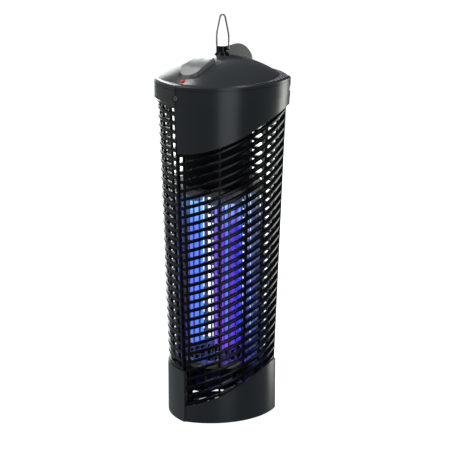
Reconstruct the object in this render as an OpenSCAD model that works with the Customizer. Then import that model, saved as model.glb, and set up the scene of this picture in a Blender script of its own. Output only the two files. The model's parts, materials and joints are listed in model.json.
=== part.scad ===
// Hanging electric bug zapper: a tapered three-sided lantern with a slatted guard, three ultraviolet
// tubes inside two rings of electrode rods, a head full of electrics and a wire bail.
// Millimetres, +Z up. The origin is on the long axis at the level of the base. One corner of the
// three-sided section points along -Y, and the face between -Y and +X is the decorated front face.

/* [Overall] */
// Height of the joint between the top cap and its cover
body_h = 473; // [430:1:520]
// Distance from the axis to the middle of a face of the top cap
cap_face_r = 88; // [86:0.5:100]
// Distance from the axis to the middle of a face of the bottom cap
base_face_r = 70.3; // [70:0.1:78]
// How far behind the axis the arc of each face is centred
arc_back = 26; // [10:1:34]
// Sideways shift of each arc, which makes one end of a face stand proud of the next face
face_shift = 1.25; // [0:0.05:1.4]

/* [Caps] */
// Wall of the top cap, the cover and the bottom cap
wall = 3; // [2.4:0.1:3.6]
// Depth of the top cap's level skirt on the left and rear faces
skirt_h = 25; // [24:1:40]
// Depth of the front skirt at its long end
swoosh_drop_long = 88; // [60:1:110]
// Depth of the front skirt at its short end
swoosh_drop_short = 33; // [28:1:50]
// Height of the bottom cap on the left and rear faces
base_h = 74; // [60:1:90]
// Height of the bottom cap at the low end of its front edge
base_low_h = 21.6; // [16:0.1:40]
// How far the front skirt leans inwards from top to bottom
skirt_lean = 6.5; // [0:0.5:8]

/* [Cover] */
// Height of the cover's flat rim above the joint
rim_h = 6.5; // [5:0.5:9]
// Width of the bevel round the top of the rim
rim_bevel = 2.2; // [1:0.1:3]
// Radius of the dome at its foot
dome_r = 84.5; // [80:0.5:86]
// Height of the dome above the rim
dome_h = 26; // [20:1:32]
// Gap between neighbouring fixed pieces
gap = 0.4; // [0.3:0.05:0.6]

/* [Guard] */
// Distance from the axis to the middle of a guard face at the top
guard_top_r = 84; // [80:0.5:84]
// Distance from the axis to the middle of a guard face at the base
guard_base_r = 66.3; // [66:0.1:68]
// Height from one slat to the next
slat_pitch = 12.5; // [11:0.1:15]
// Height of one slat
slat_h = 5; // [3:0.1:7]
// Depth of a slat from outside to inside
slat_depth = 6.5; // [5:0.1:7]
// Rise of the front slats for each millimetre along the face
slat_slope = 0.4; // [0:0.01:0.5]
// Depth of the ribs behind the slats' outer edge
rib_recess = 3.2; // [3:0.1:4]
// Width of a rib
rib_w = 3.2; // [2:0.1:5]

/* [Lamps and electrodes] */
// Radius of a lamp tube
tube_r = 8.75; // [6:0.25:9.5]
// Distance between the two legs of a lamp
leg_gap = 22; // [20:0.5:24]
// Distance from the axis to the middle of a lamp
lamp_place_r = 30; // [28:0.5:32]
// Lowest point of a lamp
lamp_low_z = 91; // [86:1:110]
// Height at which the lamps enter their bases
lamp_top_z = 306; // [280:1:310]
// Outer radius of the core housing
core_r = 47.5; // [46:0.5:48]
// Height of the core housing's lower face
core_z = 318; // [316:1:330]
// Radius of the ring of outer rods
outer_ring_r = 57.5; // [56:0.5:58]
// Radius of the ring of inner rods
inner_ring_r = 50.5; // [50:0.5:51]
// Radius of one electrode rod
rod_r = 1; // [0.6:0.1:1.4]
// Number of rods in each ring
rod_count = 36; // [24:6:42]

/* [Button] */
// Length of the button
button_l = 56; // [50:1:66]
// Width of the button
button_w = 32; // [24:1:38]
// Distance from the axis to the middle of the button
button_y = 46.5; // [44:0.5:48]
// Level of the button's flat top above the joint
button_top = 34; // [33:0.5:38]
// Gap between the button and the cover
button_gap = 1; // [0.5:0.1:1.5]
// Travel of the button
button_travel = 2; // [1:0.5:2.5]

/* [Hanger] */
// Radius of the bail's wire
wire_r = 1.15; // [0.9:0.05:1.5]
// Clearance between the bail's ends and their hole
pin_gap = 0.07; // [0.02:0.01:0.1]
// Distance between the bail's legs
bail_w = 20; // [19.4:0.2:26]
// Height of the loop above its pivot
bail_h = 48; // [42:0.1:60]
// Height of the pivot above the joint
pivot_up = 40; // [37:0.5:44]
// Distance of the pivot behind the axis
pivot_y = 12; // [8:1:16]
// Thickness of the hanger bracket
bracket_t = 16; // [12:0.5:16]

/* [Base] */
// Thickness of the base grate
grate_t = 5; // [4:0.5:6]
// Radius of the base grate's hub
hub_r = 14; // [10:1:18]
// Width of the grate's bars
bar_w = 4; // [3:0.5:5]

/* [Cord inlet] */
// Radius of the hole through the cord gland
gland_bore_r = 4; // [3:0.25:4.5]
// Radius of the gland's threaded body
gland_r = 7.5; // [7:0.25:8]

/* [Hidden] */
$fn = 96;

// Directions of the three faces and of the corners that end them
FRONT = 330;
REAR = 90;
LEFT = 210;
FACES = [FRONT, REAR, LEFT];
CORNERS = [270, 30, 150];

CHARCOAL = [0.24, 0.27, 0.28];
BLACK = [0.03, 0.03, 0.035];
STEEL = [0.7, 0.71, 0.72];
SILVER = [0.66, 0.7, 0.68];
CREAM = [0.86, 0.86, 0.82];
VIOLET = [0.45, 0.35, 0.95];
RED = [0.8, 0.1, 0.08];
GREEN = [0.1, 0.32, 0.16];
BRASS = [0.75, 0.6, 0.3];

FAR = 300;
big = 150;
lap = 0.9; // angle by which neighbouring faces of a cap overlap
seam = 0.6; // angle left open at the start of each guard panel
corner_reach = sqrt(3) / 2;
top_half_w = corner_reach * (cap_face_r + 6);
base_half_w = corner_reach * base_face_r * 1.148;
skirt_z = body_h - skirt_h;
plate_z = skirt_z + 1;
plate_t = 3;
deck_z = plate_z + plate_t;
dome_ball_r = (dome_r * dome_r + dome_h * dome_h) / (2 * dome_h);
dome_top = body_h + rim_h + dome_h;
cage_top_z = core_z + 8;
cage_low_z = 79;
ring_in_r = inner_ring_r - 3;
ring_out_r = outer_ring_r + 3.5;
tie_r = 2;
boss_place_r = 71;
boss_h = 10;
tie_place_r = 64.5;
TIE_TURN = 9; // how far before each corner the tie rods stand
pivot_z = body_h + pivot_up;
board_z = body_h - 2;
button_low = body_h + 9;
switch_h = 6;
gland_z = body_h - 11;
screw_z = body_h - 11;

// Smooth ease from 0 to 1 that starts level, as the swooping edges do
function ease(u) = 0.55 * u * u * (3 - 2 * u) + 0.45 * pow(u, 1.5);

// Height of the guard's mid-face radius at level z
function guard_r(z) = guard_base_r + (guard_top_r - guard_base_r) * z / body_h;

// Lower edge of the top cap's front skirt: t runs along the face from its low end to its high end
function top_edge(t) =
    let (u = min(1, max(0, (t + top_half_w) / (2 * top_half_w))))
    body_h - swoosh_drop_long + (swoosh_drop_long - swoosh_drop_short) * ease(u);

// Upper edge of the bottom cap's front, the same swoop turned end for end
function base_edge(t) =
    let (u = min(1, max(0, (t + base_half_w) / (2 * base_half_w))))
    base_h + 1 - (base_h + 1 - base_low_h) * ease(1 - u);

EDGE_STEPS = 24;
function edge_points(half, from, to) = [for (i = [from : sign(to - from) : to]) -half + 2 * half * i / EDGE_STEPS];

// ---------- shared solids ----------

// Everything from start degrees before one face's direction, the X axis here, to end degrees after it.
// A face starts a little early, inside the proud end of its neighbour, so that the two are one solid.
module wedge(start = 60 + lap, end = 60) {
    translate([0, 0, -10])
        linear_extrude(body_h + 100)
            polygon([[0, 0], [FAR, -FAR * tan(start)], [FAR, FAR * tan(end)]]);
}

// One face's bulging side as a solid, from radius r1 at level z1 to radius r2 at level z2
module bulge(z1, z2, r1, r2, shift = face_shift) {
    translate([-arc_back, shift, z1])
        cylinder(h = z2 - z1, r1 = r1 + arc_back, r2 = r2 + arc_back, $fn = 180);
}

// The whole three-sided section between two levels
module section(z1, z2, r1, r2, shift = face_shift) {
    for (a = FACES)
        rotate(a)
            intersection() {
                bulge(z1, z2, r1, r2, shift);
                wedge();
            }
}

// The same section for pieces inside the shells: its faces meet without a step, inside radius r
module inner_section(z1, z2, r) {
    m = r - face_shift - 0.1;
    intersection() {
        rotate(FRONT)
            bulge(z1, z2, m, m, 0);
        rotate(REAR)
            bulge(z1, z2, m, m, 0);
        rotate(LEFT)
            bulge(z1, z2, m, m, 0);
    }
}

// Turns an outline of (along the face, up) into a solid that runs outwards through the face
module through_face() {
    rotate([90, 0, 90])
        linear_extrude(FAR)
            children();
}

// A bar with half-round ends, long way along X
module stadium(l, w, h) {
    translate([-(l - w) / 2, -w / 2, 0])
        cube([l - w, w, h]);
    for (s = [-1, 1])
        translate([s * (l - w) / 2, 0, 0])
            cylinder(h = h, d = w);
}

module ring(r_out, r_in, h) {
    difference() {
        cylinder(h = h, r = r_out);
        translate([0, 0, -1])
            cylinder(h = h + 2, r = r_in);
    }
}

// A pan-head screw standing on z = 0 with its shank downwards
module screw(head_r, head_h, shank_r, shank_l) {
    difference() {
        cylinder(h = head_h, r = head_r, $fn = 32);
        translate([-head_r * 0.6, -head_r * 0.13, head_h * 0.45])
            cube([head_r * 1.2, head_r * 0.26, head_h]);
        translate([-head_r * 0.13, -head_r * 0.6, head_h * 0.45])
            cube([head_r * 0.26, head_r * 1.2, head_h]);
    }
    translate([0, 0, -shank_l])
        cylinder(h = shank_l, r = shank_r, $fn = 32);
}

// ---------- cover ----------

// The sphere that the dome is part of, less r_less all round
module dome_ball(r_less) {
    translate([0, 0, dome_top - dome_ball_r])
        sphere(r = dome_ball_r - r_less, $fn = 180);
}

module dome(r_less) {
    intersection() {
        dome_ball(r_less);
        translate([0, 0, body_h])
            cylinder(h = rim_h + dome_h + 1, r = dome_r + 1, $fn = 120);
    }
}

// Places its children at the button's middle
module at_button() {
    translate([0, -button_y, 0])
        rotate(90)
            children();
}

led_y = -(button_y + button_l / 2 + 5.5);
tab_r = cap_face_r + 1.5;

// The three-sided rim as a solid, with its upper edge bevelled at 45 degrees
module rim() {
    rise = rim_h - rim_bevel;
    over = 1;
    difference() {
        union() {
            section(body_h + gap, body_h + rise, cap_face_r, cap_face_r);
            section(body_h + rise, body_h + rim_h + over, cap_face_r, cap_face_r - rim_bevel - over);
        }
        translate([-big, -big, body_h + rim_h])
            cube([2 * big, 2 * big, 2 * over]);
    }
}

// The cover's own shell: a three-sided rim under a round dome, hollow inside
module cover_shell() {
    difference() {
        union() {
            rim();
            dome(0);
        }
        dome(wall);
        section(body_h - 1, body_h + rim_h - wall, cap_face_r - 8.5, cap_face_r - 8.5);
    }
}

// Tongues inside the corners, which the corner screws pull against
module cover_tabs() {
    for (a = CORNERS)
        rotate(a)
            translate([tab_r - 4, -5, screw_z - 6])
                cube([3, 10, body_h + rim_h - 1 - screw_z + 6]);
}

module top_cover() {
    color(CHARCOAL)
        difference() {
            union() {
                difference() {
                    cover_shell();
                    translate([-big, -big, 0])
                        cube([2 * big, 2 * big, body_h + gap]);
                }
                cover_tabs();
            }
            at_button()
                translate([0, 0, body_h])
                    stadium(button_l + 2 * button_gap, button_w + 2 * button_gap, 60);
            translate([0, led_y, body_h - 1])
                cylinder(h = 20, r = 3.1, $fn = 48);
            for (a = CORNERS)
                rotate(a)
                    translate([tab_r - 6, 0, screw_z])
                        rotate([0, 90, 0])
                            cylinder(h = 5.6, r = 1.6, $fn = 32);
            difference() {
                bracket_foot(gap);
                dome_ball(wall / 2);
            }
            for (y = BRACKET_SCREWS_Y)
                translate([0, y, body_h])
                    cylinder(h = 60, r = 1.7, $fn = 32);
        }
}

module cover_gasket() {
    color(BLACK)
        difference() {
            inner_section(body_h + 0.02, body_h + gap - 0.02, cap_face_r - 0.2);
            inner_section(body_h - 1, body_h + 1, cap_face_r - 1.4);
        }
}

// ---------- hanger ----------

BRACKET_FRONT = 2;
BRACKET_BACK = 78;
CREST_START = 30;
BRACKET_SCREWS_Y = [24, 60];
bracket_top = pivot_z + 5;
crest_r = 50;
flare_r = 13;

// The part of the hanger bracket that sinks into the cover, grown by g all round
module bracket_foot(g) {
    translate([0, (BRACKET_FRONT + BRACKET_BACK) / 2, dome_top - 28])
        rotate(90)
            stadium(BRACKET_BACK - BRACKET_FRONT + 2 * g, bracket_t + 2 * g, 60);
}

// The skirt that flares out round the bracket's front end, resting on the cover
module bracket_flare() {
    top = pivot_z - 3;
    difference() {
        translate([0, BRACKET_FRONT + bracket_t / 2, dome_top - 4])
            cylinder(h = top - dome_top + 4, r1 = flare_r, r2 = bracket_t / 2 - 0.4, $fn = 96);
        dome_ball(-0.02);
    }
}

module hanger_bracket() {
    span = BRACKET_BACK - BRACKET_FRONT;
    color(BLACK)
        difference() {
            union() {
                bracket_flare();
                intersection() {
                    translate([0, (BRACKET_FRONT + BRACKET_BACK) / 2, dome_top - 40])
                        rotate(90)
                            stadium(span, bracket_t, bracket_top - dome_top + 40);
                    translate([-big, 0, 0])
                        rotate([90, 0, 90])
                            linear_extrude(2 * big)
                                union() {
                                    translate([BRACKET_FRONT, body_h])
                                        square([CREST_START - BRACKET_FRONT, bracket_top - body_h]);
                                    intersection() {
                                        translate([CREST_START, bracket_top - crest_r])
                                            circle(r = crest_r, $fn = 160);
                                        translate([CREST_START, body_h])
                                            square([crest_r, 60]);
                                    }
                                }
                }
            }
            dome_ball(wall / 2 - 0.02);
            translate([-bracket_t, pivot_y, pivot_z])
                rotate([0, 90, 0])
                    cylinder(h = 2 * bracket_t, r = wire_r + pin_gap, $fn = 48);
            for (y = BRACKET_SCREWS_Y)
                translate([0, y, body_h])
                    cylinder(h = dome_under(y) + 7.5 - body_h, r = 1.25, $fn = 32);
        }
}

module bracket_screws() {
    color(STEEL)
        for (y = BRACKET_SCREWS_Y)
            translate([0, y, dome_under(y) - 0.2])
                rotate([180, 0, 0])
                    screw(3.2, 2.2, 1.2, 7);
}

// Level of the underside of the dome at distance y from the axis
function dome_under(y) = dome_top - dome_ball_r + sqrt(pow(dome_ball_r - wall, 2) - pow(abs(y) + 3.3, 2));

// The bail is one wire: bent-in ends, straight legs, sloping sides and a tight tip
leg_straight = 20;
tip_r = 4.2;
foot_r = bail_w / 2 - bracket_t / 2;
pin_l = 4.5;
tip_z = bail_h - wire_r - tip_r;
// How far the sloping sides lean from the vertical where they touch the tip's bend
lean = atan2(tip_z - leg_straight, -bail_w / 2) - acos(-tip_r / norm([bail_w / 2, tip_z - leg_straight]));

// A bend of the wire in the XZ plane, of radius r about (x, z), from angle a1 to a2
module bend(x, z, r, a1, a2) {
    translate([x, 0, z])
        rotate([90, 0, 0])
            rotate(a1)
                rotate_extrude(angle = a2 - a1, $fn = 96)
                    translate([r, 0])
                        circle(r = wire_r, $fn = 32);
}

// A straight length of wire from p to q with a round joint at q
module leg(p, q) {
    v = q - p;
    translate(p)
        rotate([0, atan2(v[0], v[2]), 0])
            cylinder(h = norm(v), r = wire_r, $fn = 32);
    translate(q)
        sphere(r = wire_r + 0.1, $fn = 32);
}

module bail() {
    hw = bail_w / 2;
    color(STEEL)
        translate([0, pivot_y, pivot_z])
            union() {
                for (side = [-1, 1]) {
                    leg([side * (hw - foot_r - pin_l), 0, 0], [side * hw, 0, 0]);
                    leg([side * hw, 0, 0], [side * hw, 0, leg_straight]);
                    leg([side * hw, 0, leg_straight], [side * tip_r * cos(lean), 0, tip_z + tip_r * sin(lean)]);
                }
                bend(0, tip_z, tip_r, lean, 180 - lean);
            }
}

// ---------- button and board ----------

stem_r = 2.5;
stem_low = board_z + 1.6 + switch_h + button_travel + 0.2;

module power_button() {
    top = body_h + button_top;
    nose_y = -(button_y + button_l / 2);
    color(SILVER)
        union() {
            difference() {
                at_button()
                    translate([0, 0, button_low])
                        stadium(button_l, button_w, top - button_low);
                // the sloping nose
                translate([-big, nose_y, top - 17])
                    rotate([32, 0, 0])
                        translate([0, -60, 0])
                            cube([2 * big, 120, 60]);
                // hollow underside
                at_button()
                    translate([0, 0, button_low - 1])
                        stadium(button_l - 5, button_w - 5, 5);
            }
            translate([0, -button_y, stem_low])
                cylinder(h = button_low + 6 - stem_low, r = stem_r, $fn = 48);
        }
}

// One ring of points round the spring's wire at turn angle a
function coil_ring(r, w, pitch, a, sides) = [
    for (k = [0 : sides - 1])
        let (b = 360 * k / sides)
        [(r + w * cos(b)) * cos(a), (r + w * cos(b)) * sin(a), pitch * a / 360 + w * sin(b)]
];

module coil(r, w, pitch, turns) {
    sides = 8;
    steps = turns * 20;
    points = [for (i = [0 : steps]) each coil_ring(r, w, pitch, 360 * i / 20, sides)];
    side_faces = [
        for (i = [0 : steps - 1]) for (k = [0 : sides - 1])
            let (n = (k + 1) % sides)
            [i * sides + k, (i + 1) * sides + k, (i + 1) * sides + n, i * sides + n]
    ];
    start_cap = [for (k = [0 : sides - 1]) k];
    end_cap = [for (k = [sides - 1 : -1 : 0]) steps * sides + k];
    polyhedron(points = points, faces = concat(side_faces, [start_cap, end_cap]));
}

spring_w = 0.45;
spring_r = 6.8;
spring_low = board_z + 1.6 + switch_h;

module button_spring() {
    turns = 4;
    room = button_low + 3.6 - spring_low - 2 * spring_w - 0.4;
    color(STEEL)
        translate([0, -button_y, spring_low + spring_w + 0.1])
            coil(spring_r, spring_w, room / turns, turns);
}

module push_switch() {
    color(BLACK)
        translate([0, -button_y, board_z + 1.62]) {
            translate([-7, -7, 0])
                cube([14, 14, switch_h - 0.6]);
            cylinder(h = switch_h - 0.1, r = 3.4, $fn = 48);
        }
}

// Level of the dome's outside at distance y from the axis
function dome_over(y) = dome_top - dome_ball_r + sqrt(pow(dome_ball_r, 2) - pow(y, 2));

led_top = dome_over(led_y) + 0.5;
lens_ball_r = 5;

module led_lens() {
    color(RED)
        translate([0, led_y, 0]) {
            translate([0, 0, body_h + 2])
                cylinder(h = led_top - body_h - 2, r = 3, $fn = 48);
            translate([0, 0, led_top - 0.01])
                intersection() {
                    translate([0, 0, 0.01 - sqrt(lens_ball_r * lens_ball_r - 9)])
                        sphere(r = lens_ball_r, $fn = 64);
                    cylinder(h = 3, r = 3, $fn = 48);
                }
        }
}

module status_led() {
    color(RED)
        translate([0, led_y, board_z + 1.62]) {
            cylinder(h = 0.2, r = 1.6, $fn = 32);
        }
}

module circuit_board() {
    color(GREEN)
        difference() {
            translate([-22, led_y - 3, board_z])
                cube([44, 63, 1.6]);
            for (p = BOARD_POSTS)
                translate([p[0], p[1], board_z - 1])
                    cylinder(h = 4, r = 1.3, $fn = 32);
        }
}

BOARD_POSTS = [[-18, -76], [18, -76], [-18, -28], [18, -28]];

module board_standoffs() {
    color(BRASS)
        for (p = BOARD_POSTS)
            translate([p[0], p[1], deck_z + 0.02]) {
                cylinder(h = board_z - deck_z - 0.04, r = 3, $fn = 6);
                cylinder(h = board_z - deck_z + 3.6, r = 1.2, $fn = 32);
            }
}

// ---------- head electrics ----------

module hv_transformer() {
    color([0.2, 0.18, 0.16])
        translate([-44, -4, deck_z + 0.02]) {
            cube([30, 44, 4]);
            translate([0, 0, 3])
                cube([30, 8, 27]);
            translate([0, 36, 3])
                cube([30, 8, 27]);
            translate([0, 0, 28])
                cube([30, 44, 4]);
            translate([-3, 10, 5])
                cube([36, 24, 22]);
            translate([4, 5, 3])
                cube([22, 34, 26]);
        }
}

module hv_capacitors() {
    color([0.75, 0.45, 0.12])
        for (i = [0 : 3])
            translate([-14 + 9.4 * i, 62, deck_z + 0.02]) {
                cylinder(h = 4, r = 3.6, $fn = 48);
                translate([0, 0, 3.5])
                    cylinder(h = 16, r = 4.2, $fn = 48);
            }
}

module lamp_ballast() {
    color([0.82, 0.82, 0.8])
        translate([14, -20, deck_z + 0.02])
            difference() {
                union() {
                    cube([38, 70, 24]);
                    translate([12, -6, 0])
                        cube([14, 82, 1.6]);
                }
                for (y = [-3, 73])
                    translate([19, y, -1])
                        cylinder(h = 4, r = 1.7, $fn = 32);
            }
}

module wiring_harness() {
    color([0.7, 0.08, 0.06])
        for (x = [-3, 1, 5])
            translate([x, -26, deck_z + 1.32])
                rotate([-90, 0, 0])
                    cylinder(h = 80, r = 1.3, $fn = 32);
}

// ---------- top cap ----------

// The corner bosses that the cover's tabs are screwed to
module corner_boss() {
    for (a = CORNERS)
        rotate(a)
            translate([tab_r - 0.6, 0, screw_z])
                rotate([0, 90, 0])
                    cylinder(h = 11, r = 6.5, $fn = 64);
}

module front_skirt_cut() {
    pts = [for (t = edge_points(top_half_w, 0, EDGE_STEPS)) [t, top_edge(t)]];
    through_face()
        polygon(concat([[-big, 0], [-big, top_edge(-big)]], pts, [[big, top_edge(big)], [big, 0]]));
}

front_low_z = body_h - swoosh_drop_long - 2;
chamfer_z = skirt_z + 2.5;

// One face of the cap, as a solid, with r taken off all round
module cap_face(a, less) {
    if (a == FRONT) {
        bulge(body_h - 18, body_h + (less > 0 ? 1 : 0), cap_face_r - 0.6 - less, cap_face_r - less);
        bulge(front_low_z, body_h - 17.99, cap_face_r - skirt_lean - less, cap_face_r - 0.6 - less);
    } else {
        bulge(chamfer_z + 3.5, body_h + (less > 0 ? 1 : 0), cap_face_r - less, cap_face_r - less);
        bulge(chamfer_z, chamfer_z + 3.51, cap_face_r - 3.4 - less, cap_face_r - less);
        bulge(skirt_z, chamfer_z + 0.01, cap_face_r - 3.6 - less, cap_face_r - 3.4 - less);
    }
}

module top_cap() {
    color(CHARCOAL)
        difference() {
            union() {
                for (a = FACES)
                    rotate(a)
                        difference() {
                            intersection() {
                                cap_face(a, 0);
                                wedge();
                            }
                            cap_face(a, wall);
                            if (a == FRONT)
                                front_skirt_cut();
                            else
                                bulge(skirt_z - 5, skirt_z + 0.01, cap_face_r - 2 - wall, cap_face_r - 2 - wall);
                        }
                intersection() {
                    corner_boss();
                    section(skirt_z, body_h, cap_face_r - 1, cap_face_r - 1);
                }
            }
            for (a = CORNERS)
                rotate(a)
                    translate([tab_r - 5, 0, screw_z])
                        rotate([0, 90, 0])
                            cylinder(h = 40, r = 1.7, $fn = 32);
            for (a = CORNERS)
                rotate(a)
                    translate([tab_r + 5.5, 0, screw_z])
                        rotate([0, 90, 0])
                            cylinder(h = 30, r = 4, $fn = 48);
            rotate(REAR)
                translate([cap_face_r - 10, 0, gland_z])
                    rotate([0, 90, 0])
                        cylinder(h = 20, r = gland_r + 0.1, $fn = 64);
        }
}

module corner_screws() {
    color(STEEL)
        for (a = CORNERS)
            rotate(a)
                translate([tab_r + 5.52, 0, screw_z])
                    rotate([0, 90, 0])
                        screw(3.4, 2.6, 1.5, 10);
}

module cord_gland() {
    color(BLACK)
        rotate(REAR)
            translate([cap_face_r, 0, gland_z])
                rotate([0, 90, 0])
                    difference() {
                        union() {
                            translate([0, 0, -10])
                                cylinder(h = 12, r = gland_r, $fn = 64);
                            translate([0, 0, 0.1])
                                cylinder(h = 3, r = gland_r + 3, $fn = 64);
                            translate([0, 0, 3])
                                cylinder(h = 3, r1 = gland_r + 1, r2 = gland_r - 1.5, $fn = 64);
                        }
                        translate([0, 0, -11])
                            cylinder(h = 20, r = gland_bore_r, $fn = 64);
                    }
}

module gland_nut() {
    color(BLACK)
        rotate(REAR)
            translate([cap_face_r - wall - 5.8, 0, gland_z])
                rotate([0, 90, 0])
                    difference() {
                        cylinder(h = 4, r = gland_r + 2, $fn = 6);
                        translate([0, 0, -1])
                            cylinder(h = 6, r = gland_r + 0.05, $fn = 64);
                    }
}

// ---------- chassis and lamps ----------

plate_r = cap_face_r - 3.6 - wall - gap;

module chassis_plate() {
    color([0.45, 0.46, 0.47])
        difference() {
            inner_section(plate_z, deck_z, plate_r);
            for (a = FACES)
                rotate(a)
                    translate([30, 0, plate_z - 1])
                        cylinder(h = plate_t + 2, r = 7, $fn = 48);
            for (a = CORNERS)
                rotate(a - TIE_TURN)
                    translate([tie_place_r, 0, plate_z - 1])
                        cylinder(h = plate_t + 2, r = tie_r + 0.1, $fn = 32);
        }
}

// Places its children on each lamp's middle, long way along Y
module at_lamp(a) {
    rotate(a)
        translate([lamp_place_r, 0, 0])
            rotate(90)
                children();
}

base_l = leg_gap + 22;
base_w = 21;

module core_housing() {
    color(BLACK)
        difference() {
            translate([0, 0, core_z])
                cylinder(h = plate_z - core_z - 0.1, r = core_r, $fn = 120);
            translate([0, 0, core_z + 2.5])
                cylinder(h = plate_z - core_z, r = core_r - 2.5, $fn = 120);
            for (a = FACES)
                intersection() {
                    at_lamp(a)
                        translate([0, 0, core_z - 1])
                            stadium(base_l + 2 * gap, base_w + 2 * gap, 5);
                    cylinder(h = 600, r = core_r - 2.5, $fn = 120);
                }
        }
}

module lamp(a) {
    bend_z = lamp_low_z + leg_gap / 2 + tube_r;
    color(VIOLET)
        at_lamp(a)
            union() {
                for (s = [-1, 1])
                    translate([s * leg_gap / 2, 0, bend_z])
                        cylinder(h = lamp_top_z - bend_z, r = tube_r, $fn = 64);
                translate([0, 0, bend_z])
                    rotate([-90, 0, 0])
                        rotate_extrude(angle = 180, $fn = 96)
                            translate([leg_gap / 2, 0])
                                circle(r = tube_r, $fn = 64);
            }
}

PIN_XS = [-10, -4, 4, 10];

module lamp_base(a) {
    color(CREAM)
        intersection() {
            at_lamp(a)
                union() {
                    translate([0, 0, lamp_top_z + 0.02])
                        stadium(base_l, base_w, core_z + 5 - lamp_top_z);
                    for (x = PIN_XS)
                        translate([x, 0, core_z + 4])
                            cylinder(h = 9, r = 1.1, $fn = 32);
                }
            cylinder(h = 600, r = core_r - 2.5 - gap, $fn = 120);
        }
}

module lamp_socket(a) {
    color(CREAM)
        difference() {
            intersection() {
                at_lamp(a)
                    translate([0, 0, core_z + 5.1])
                        stadium(base_l, base_w, 20);
                cylinder(h = 600, r = core_r - 2.5 - gap, $fn = 120);
            }
            at_lamp(a)
                for (x = PIN_XS)
                    translate([x, 0, core_z + 4])
                        cylinder(h = 12, r = 1.2, $fn = 32);
        }
}

// ---------- guard ----------

// Where the ribs stand, in degrees from the middle of a face
RIB_TURNS = [-23, 7.5, 31, 48];
START_STRIP = 2.6;
END_STRIP = 2;
CLOSING_STRIP = 1.2;

// The shell that the slats are cut from, inset by i and d deep
module guard_shell(i, d) {
    difference() {
        bulge(0, body_h, guard_base_r - i, guard_top_r - i);
        bulge(-1, body_h + 1, guard_base_r - i - d - 0.04, guard_top_r - i - d + 0.04);
    }
}

module guard_window(a) {
    if (a == FRONT) {
        top = [for (t = edge_points(top_half_w, 0, EDGE_STEPS)) [t, top_edge(t) - gap]];
        low = [for (t = edge_points(base_half_w, EDGE_STEPS, 0)) [t, base_edge(t) + gap]];
        through_face()
            polygon(concat([[-big, top_edge(-big) - gap]], top, [[big, top_edge(big) - gap]],
                           [[big, base_edge(big) + gap]], low, [[-big, base_edge(-big) + gap]]));
    } else {
        translate([0, -big, base_h + gap])
            cube([FAR, 2 * big, skirt_z - base_h - 2 * gap]);
    }
}

module guard(a) {
    slope = a == FRONT ? slat_slope : 0;
    first = a == FRONT ? -2 : 5;
    last = a == FRONT ? 37 : 35;
    strip = 4;
    color(BLACK)
        rotate(a)
            union() {
                intersection() {
                    guard_shell(0, slat_depth);
                    wedge(60 - seam, 60 - lap - 0.3);
                    guard_window(a);
                    union() {
                        for (k = [first : last])
                            translate([0, 0, skirt_z - 6.5 - slat_h - slat_pitch * (k - 5)])
                                rotate([atan(slope), 0, 0])
                                    translate([0, -big, 0])
                                        cube([FAR, 2 * big, slat_h]);
                    }
                }
                intersection() {
                    guard_shell(rib_recess, slat_depth - rib_recess);
                    wedge(60 - seam, 60 - lap - 0.3);
                    rib_range();
                    union() {
                        for (turn = RIB_TURNS)
                            rotate(turn)
                                through_rib(0, rib_w);
                        rotate(-60 + START_STRIP)
                            through_rib(0, strip);
                        rotate(60 - END_STRIP)
                            through_rib(0, strip);
                    }
                }
                // the smooth strip that closes the proud end of the face
                intersection() {
                    guard_shell(0, slat_depth);
                    wedge(60 - seam, 60 - lap - 0.3);
                    guard_window(a);
                    rotate(60 - CLOSING_STRIP)
                        through_rib(0, strip);
                }
            }
}

module through_rib(t, w) {
    translate([0, t - w / 2, 0])
        cube([FAR, w, 600]);
}

// How far the ribs reach behind the two caps
module rib_range() {
    low = grate_t + gap + boss_h + gap;
    translate([-FAR, -FAR, low])
        cube([2 * FAR, 2 * FAR, plate_z - 1 - low]);
}

// ---------- electrode cage ----------

module rods(place_r, turn) {
    for (i = [0 : rod_count - 1])
        rotate(turn + 360 * i / rod_count)
            translate([place_r, 0, cage_low_z])
                cylinder(h = cage_top_z - cage_low_z, r = rod_r, $fn = 24);
}

module outer_grid() {
    color(STEEL)
        rods(outer_ring_r, 0);
}

module inner_grid() {
    color(STEEL)
        rods(inner_ring_r, 180 / rod_count);
}

module rod_sockets() {
    for (i = [0 : rod_count - 1]) {
        rotate(360 * i / rod_count)
            translate([outer_ring_r, 0, 0])
                cylinder(h = 600, r = rod_r + 0.05, $fn = 24);
        rotate((i + 0.5) * 360 / rod_count)
            translate([inner_ring_r, 0, 0])
                cylinder(h = 600, r = rod_r + 0.05, $fn = 24);
    }
}

module upper_insulator() {
    color(CREAM)
        difference() {
            translate([0, 0, cage_top_z - 4])
                ring(ring_out_r, core_r + 0.1, 7);
            translate([0, 0, cage_top_z + 0.05 - 600])
                rod_sockets();
        }
}

module lower_insulator() {
    color(CREAM)
        difference() {
            translate([0, 0, cage_low_z - 3])
                ring(ring_out_r, ring_in_r, 7);
            translate([0, 0, cage_low_z - 0.05])
                rod_sockets();
        }
}

support_z = cage_low_z - 7.02;
post_r = 40;

module lower_support() {
    color(BLACK)
        union() {
            translate([0, 0, support_z])
                ring(ring_out_r, ring_in_r + 1, 4);
            for (a = FACES)
                rotate(a) {
                    translate([0, -3, support_z])
                        cube([ring_in_r + 3, 6, 4]);
                    translate([post_r, 0, grate_t + 0.02])
                        cylinder(h = support_z - grate_t + 1, r = 4, $fn = 48);
                }
            translate([0, 0, support_z])
                cylinder(h = 4, r = 12, $fn = 64);
        }
}

module tie_rods() {
    color(STEEL)
        for (a = CORNERS)
            rotate(a - TIE_TURN)
                translate([tie_place_r, 0, grate_t + 0.02])
                    cylinder(h = deck_z - grate_t + 6, r = tie_r, $fn = 32);
}

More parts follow.
